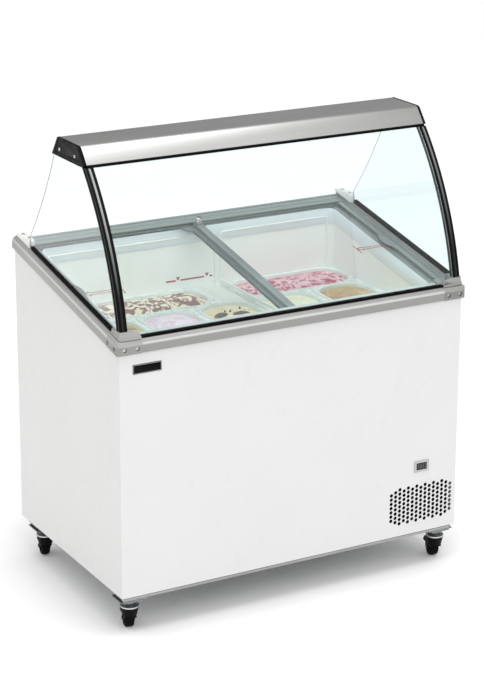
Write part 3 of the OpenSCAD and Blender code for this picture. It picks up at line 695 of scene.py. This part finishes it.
def scoop(name, x, y, turned, material, seed):
    """Ice cream in one pan: a domed and scraped top on a body with rounded corners."""
    crown, lumps = 14.0, 2.4  # heights of the dome and of its lumps, in millimetres
    depth = 30 * MM
    rings, ridge_steps = 22, 24
    a, b = PAN_HALF
    ridge = a - b  # half length of the line that the rings close in on
    outline = rounded_outline(a, b, PAN_CORNER)
    n = len(outline)
    turn = Matrix.Rotation(math.radians(90 if turned else 0), 4, "Z")
    place = Matrix.Translation((x * MM, y, 0)) @ turn
    edge_z = PAN_Z - 9 * MM

    def top(p, f):
        """Height at p, where f is 1 at the rim and 0 on the ridge."""
        still = 1 - f**5
        big = noise.noise(Vector((p.x * 16, p.y * 26, seed)))
        small = noise.noise(Vector((p.x * 60, p.y * 60, seed + 7.3)))
        scrape = math.sin(p.x * 210 + 3 * noise.noise(Vector((p.x * 20, p.y * 20, seed + 3))))
        rough = still * lumps * (big + 0.35 * small + 0.22 * scrape)
        return edge_z + (crown * (1 - f**2.3) + rough) * MM

    def nearest(i):
        """The ridge's point next to point i of the innermost ring."""
        share = (max(-ridge, min(ridge, outline[i].x)) + ridge) / (2 * ridge)
        return first_end + round(share * ridge_steps)

    verts = []
    for k in range(rings, 0, -1):
        f = k / rings
        for p in outline:
            spine = Vector((max(-ridge, min(ridge, p.x)), 0))
            q = spine + (p - spine) * f
            verts.append(place @ Vector((q.x, q.y, top(q, f))))
    faces = walls(rings, n)
    first_end = len(verts)
    ends = [Vector((-ridge + 2 * ridge * i / ridge_steps, 0)) for i in range(ridge_steps + 1)]
    verts += [place @ Vector((p.x, p.y, top(p, 0))) for p in ends]
    inner = (rings - 1) * n
    for i in range(n):
        j = (i + 1) % n
        corners = [inner + i, inner + j, nearest(j), nearest(i)]
        faces.append(tuple(dict.fromkeys(corners)))
    low = len(verts)
    verts += [place @ Vector((p.x, p.y, edge_z - depth)) for p in outline]
    faces += [(low + i, low + (i + 1) % n, (i + 1) % n, i) for i in range(n)]
    faces.append(tuple(range(low + n - 1, low - 1, -1)))
    obj = piece(name, verts, faces, material, "cabinet", "ice_cream")
    by_angle(obj, 60)
    return obj


def make_ice_cream():
    flavours = [
        ("ice_cream_caramel", -363, ice("caramel_ice", "DCC287", "E3CC95", "AC8752", 0.28, 22)),
        ("ice_cream_lilac", -187, ice("lilac_ice", "F0D6E4", "E6C8DA", "F8E6EE", 0.4, 24)),
        (
            "ice_cream_cookies",
            -11,
            ice("cookie_ice", "F5E6C0", "EEDCB0", "F9EFD6", 0.3, 18, bits="4A4642"),
        ),
        ("ice_cream_vanilla", 182, ice("vanilla_ice", "F1EDD4", "EBE6C8", "F6F3E0", 0.3, 18)),
        ("ice_cream_toffee", 358, ice("toffee_ice", "C6A273", "B99464", "D6B88C", 0.34, 40)),
    ]
    for i, (name, x, material) in enumerate(flavours):
        scoop(name, x, FRONT_PAN_Y, True, material, 2.7 * i)
    ripple = ice("ripple_ice", "F6EFD8", "EEE4CA", "8C6260", 0.4, 34, (1.0, 0.7, 1), 1.4)
    berry = ice("berry_ice", "EFC8D0", "E6B4C0", "B04A60", 0.42, 34, (1, 1, 1), 1.8, "FAF4E6", 60)
    scoop("ice_cream_ripple", -181, REAR_PAN_Y, False, ripple, 21.0)
    scoop("ice_cream_berry", 270, REAR_PAN_Y, False, berry, 33.0)
    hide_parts("ice_cream")


def shard(x, y, length, width, angle, seed):
    """A broken piece of cookie that lies half sunk in the ice cream, in millimetres."""
    n, rings = 18, 4
    lift = 5.4 * MM
    verts = []
    turn = Matrix.Translation((x * MM, y * MM, PAN_Z + lift))
    turn = turn @ Matrix.Rotation(math.radians(angle), 4, "Z")
    for k in range(rings + 1):
        f = 1 - (k / (rings + 1)) ** 2
        for i in range(n):
            t = 2 * math.pi * i / n
            rough = 1 + 0.16 * noise.noise(Vector((math.cos(t) * 1.4, math.sin(t) * 1.4, seed)))
            dents = noise.noise(Vector((math.cos(t) * 3 * f, math.sin(t) * 3 * f, seed)))
            high = -5 + 8.5 * (k / rings) ** 0.8 + 1.2 * dents
            reach = f * rough
            spot = Vector((length / 2 * reach * math.cos(t), width / 2 * reach * math.sin(t), high))
            verts.append(turn @ (spot * MM))
    return verts, closed_walls(rings + 1, n)


def make_cookies():
    parts = [
        shard(-57, -10, 44, 22, 8, 1.0),
        shard(-4, -22, 50, 25, -6, 4.0),
        shard(-22, 4, 9, 6, 30, 6.0),
        shard(14, 16, 8, 6, 70, 8.0),
        shard(-36, 8, 6, 4, 10, 9.0),
    ]
    obj = piece("cookie_pieces", *joined(parts), COOKIE, "cabinet", "ice_cream")
    by_angle(obj, 50)


def make_wall_details():
    """The load line and the beads on the tank's rear wall."""
    wall = TANK_REAR_Y - 0.05 * MM
    line_z, half, ink = 730, 2.2, 0.25 * MM
    dashes = ((-82, -52), (-37, 38), (55, 64))
    marks = [rectangle(a, line_z - half, b, line_z + half) for a, b in dashes]
    for x in (-44.5, 46.6):  # triangles that point down at the line
        marks.append([(x, line_z - 1), (x + 6.5, line_z + 10), (x - 6.5, line_z + 10)])
    slabs = [slab(in_metres(outline), ink, facing_front(wall)) for outline in marks]
    piece("load_line", *joined(slabs), RED_INK, "cabinet", "tank")

    y = wall - 0.2 * MM
    radius, corner = 3.2 * MM, 10 * MM
    low, high = 703 * MM, 853 * MM
    step_left, step_right = 72 * MM, 89 * MM  # beads on both sides of the tank's step
    left_end, right_end = -440 * MM, 439 * MM
    left = [
        (left_end, y, high),
        *bend(step_left - corner, high - corner, corner, 90, 0, y),
        (step_left, y, low),
    ]
    right = [
        (step_right, y, low),
        *bend(step_right + corner, high - corner, corner, 180, 90, y),
        *bend(right_end - corner, high - corner, corner, 90, 0, y),
        (right_end, y, low),
    ]
    beads = joined([tube(left, radius), tube(right, radius)])
    obj = piece("liner_beads", *beads, WHITE_PLASTIC, "cabinet", "tank")
    by_angle(obj, 50)


def make_lid_decals():
    """A plain double arrow between two bars on each lid, in millimetres on the slope."""
    y, bar, width, head = -19.0, 24.0, 2.8, 15.0
    for name, body, low, high, glass_top in (
        ("left_lid_decal", "left_lid", -461, -358, 14.0),
        ("right_lid_decal", "right_lid", 362, 461, 23.0),
    ):
        lines = [((x, y - bar), (x, y + bar)) for x in (low, high)]
        for s in (-1, 1):
            barb, shaft = y + s * 11, y + s * 5
            lines.append(((low + 1, y), (low + head, barb)))
            lines.append(((low + head, barb), (low + head, shaft)))
            lines.append(((low + head, shaft), (high, shaft)))
        plane = SLOPE_PLANE @ Matrix.Translation((0, 0, (glass_top + 0.02) * MM))
        parts = [slab(in_metres(stroke(a, b, width)), 0.12 * MM, plane) for a, b in lines]
        piece(name, *joined(parts), RED_INK, body, "lid_glass")


def make_display():
    """Window of the temperature display, with two digits and two small marks."""
    behind, before = facing_front(FRONT_Y - 1.45 * MM), facing_front(FRONT_Y - 1.97 * MM)
    window = slab(in_metres(rectangle(380.4, 286.4, 412.6, 305.6)), 0.5 * MM, behind)
    piece("display_window", *window, SCREEN, "cabinet", "black_plastic")
    low, wide, width = 290.5, 7, 1.5
    outlines = []
    for x in (385, 395.5):
        for dz in (0, 5.5, 11):
            outlines.append(stroke((x, low + dz), (x + wide, low + dz), width))
        for dx in (0, wide):
            for dz in (0.9, 6.4):
                outlines.append(stroke((x + dx, low + dz), (x + dx, low + dz + 3.7), width))
    for z in (low, low + 8):
        outlines.append(rectangle(407, z, 410.5, z + 3.5))
    blocks = [slab(in_metres(outline), 0.1 * MM, before) for outline in outlines]
    piece("display_segments", *joined(blocks), DIGITS, "cabinet", "bezel")


def make_badge_rim():
    low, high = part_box("badge")
    width, inset = 0.9 * MM, 1.2 * MM
    x0, x1, z0, z1 = low.x + inset, high.x - inset, low.z + inset, high.z - inset
    sides = (
        rectangle(x0, z0, x1, z0 + width),
        rectangle(x0, z1 - width, x1, z1),
        rectangle(x0, z0 + width, x0 + width, z1 - width),
        rectangle(x1 - width, z0 + width, x1, z1 - width),
    )
    parts = [slab(side, 0.15 * MM, facing_front(low.y - 0.02 * MM)) for side in sides]
    piece("badge_rim", *joined(parts), BADGE_RIM, "cabinet", "bezel")


def make_axle_caps():
    """Domed rivet heads on the ends of the casters' axles."""
    around, profile = 20, ((4.6, 0.0), (4.6, 0.5), (3.9, 1.0), (2.4, 1.4), (0.7, 1.5))
    axle = Vector((math.cos(CASTER_TURN), math.sin(CASTER_TURN), 0))
    across = Vector((-math.sin(CASTER_TURN), math.cos(CASTER_TURN), 0))
    for name in CORNERS:
        low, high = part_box(f"{name}_wheel")
        middle = (low + high) / 2
        parts = []
        for s in (-1, 1):
            verts = []
            for r, h in profile:
                for i in range(around):
                    t = 2 * math.pi * i / around * s
                    offset = across * (r * math.cos(t)) + Vector((0, 0, r * math.sin(t)))
                    verts.append(middle + (axle * (s * (AXLE_END + h)) + offset) * MM)
            parts.append((verts, closed_walls(len(profile), around)))
        obj = piece(f"{name}_axle_caps", *joined(parts), ZINC, f"{name}_swivel", "steel")
        by_angle(obj, 40)


make_ice_cream()
make_cookies()
make_wall_details()
make_lid_decals()
make_display()
make_badge_rim()
make_axle_caps()


# ---- floor, light and camera ----


def make_floor():
    s = Shader("pale_floor", Roughness=0.9, Specular_IOR_Level=0.2)
    s.put("Base Color", s.mix(s.spread(s.noise(3, 3), 0, 1), srgb("FDFDFD"), srgb("FFFFFF")))
    s.bump(s.noise(120, 3), 0.0002)
    half = 14.0
    corners = [(x, y, 0) for x, y in rectangle(-half, -half, half, half)]
    mesh = bpy.data.meshes.new("floor")
    mesh.from_pydata(corners, [], [(0, 1, 2, 3)])
    mesh.materials.append(s.material)
    floor = bpy.data.objects.new("floor", mesh)
    scene.collection.objects.link(floor)


def softbox(name, place, aim, size, power):
    light = bpy.data.lights.new(name, "AREA")
    light.shape = "RECTANGLE"
    light.size, light.size_y = size
    light.energy = power
    obj = bpy.data.objects.new(name, light)
    scene.collection.objects.link(obj)
    obj.location = place
    obj.rotation_mode = "QUATERNION"
    obj.rotation_quaternion = (Vector(aim) - Vector(place)).to_track_quat("-Z", "Y")


def make_light():
    """A white room that reflections show dim near the horizon, and two soft lamps."""
    world = bpy.data.worlds.new("studio")
    world.use_nodes = True
    tree = world.node_tree
    background = tree.nodes["Background"]
    coords = tree.nodes.new("ShaderNodeTexCoord").outputs["Generated"]
    path = tree.nodes.new("ShaderNodeLightPath")

    def sky(direction, low, high):
        """Brightness that rises from low, away from a direction, to high towards it."""
        dot = tree.nodes.new("ShaderNodeVectorMath")
        dot.operation = "DOT_PRODUCT"
        dot.inputs[1].default_value = Vector(direction).normalized()
        tree.links.new(coords, dot.inputs[0])
        ramp = tree.nodes.new("ShaderNodeMapRange")
        ramp.interpolation_type = "SMOOTHSTEP"
        ramp.inputs["From Min"].default_value = -0.1
        ramp.inputs["From Max"].default_value = 0.95
        ramp.inputs["To Min"].default_value = low
        ramp.inputs["To Max"].default_value = high
        tree.links.new(dot.outputs["Value"], ramp.inputs["Value"])
        return ramp.outputs[0]

    def choose(switch, a, b):
        """a where switch is 0 and b where it is 1: sockets 2 and 3 are a Mix node's numbers."""
        node = tree.nodes.new("ShaderNodeMix")
        for socket, value in ((0, switch), (2, a), (3, b)):
            feed(tree, node.inputs[socket], value)
        return node.outputs[0]

    seen = choose(path.outputs["Is Diffuse Ray"], 1.0, sky((0, 0, 1), 0.9, 1.05))
    seen = choose(path.outputs["Is Glossy Ray"], seen, sky((-0.3, -0.5, 0.81), 0.26, 1.3))
    seen = choose(path.outputs["Is Transmission Ray"], seen, 1.0)
    tree.links.new(seen, background.inputs["Strength"])
    background.inputs["Color"].default_value = (1, 1, 1, 1)
    scene.world = world
    softbox("key", (-2.2, -5.0, 4.6), (0, 0, 0.6), (3.0, 2.4), 52)
    softbox("top", (0.1, -0.9, 4.6), (0, 0.1, 0.8), (2.4, 1.6), 44)
    scene.view_settings.view_transform = "Standard"


def make_camera():
    """Camera at the photograph's viewing angle, from a fit of the cabinet's straight edges."""
    yaw, pitch, roll = 0.5121, 0.293, 0.0039
    level = Vector((math.cos(yaw), -math.sin(yaw), 0))
    forward = Vector((math.sin(yaw), math.cos(yaw), 0)) * math.cos(pitch)
    forward -= Vector((0, 0, math.sin(pitch)))
    upward = level.cross(forward)
    right = level * math.cos(roll) + upward * math.sin(roll)
    up = upward * math.cos(roll) - level * math.sin(roll)
    data = bpy.data.cameras.new("camera")
    data.sensor_width = 36
    data.lens = 115.96
    data.shift_y = -60 / 680
    camera = bpy.data.objects.new("camera", data)
    scene.collection.objects.link(camera)
    turn = Matrix((right, up, -forward)).transposed()
    camera.matrix_world = Matrix.Translation((-2.7477, -4.9113, 2.4945)) @ turn.to_4x4()
    scene.camera = camera


make_floor()
make_light()
make_camera()
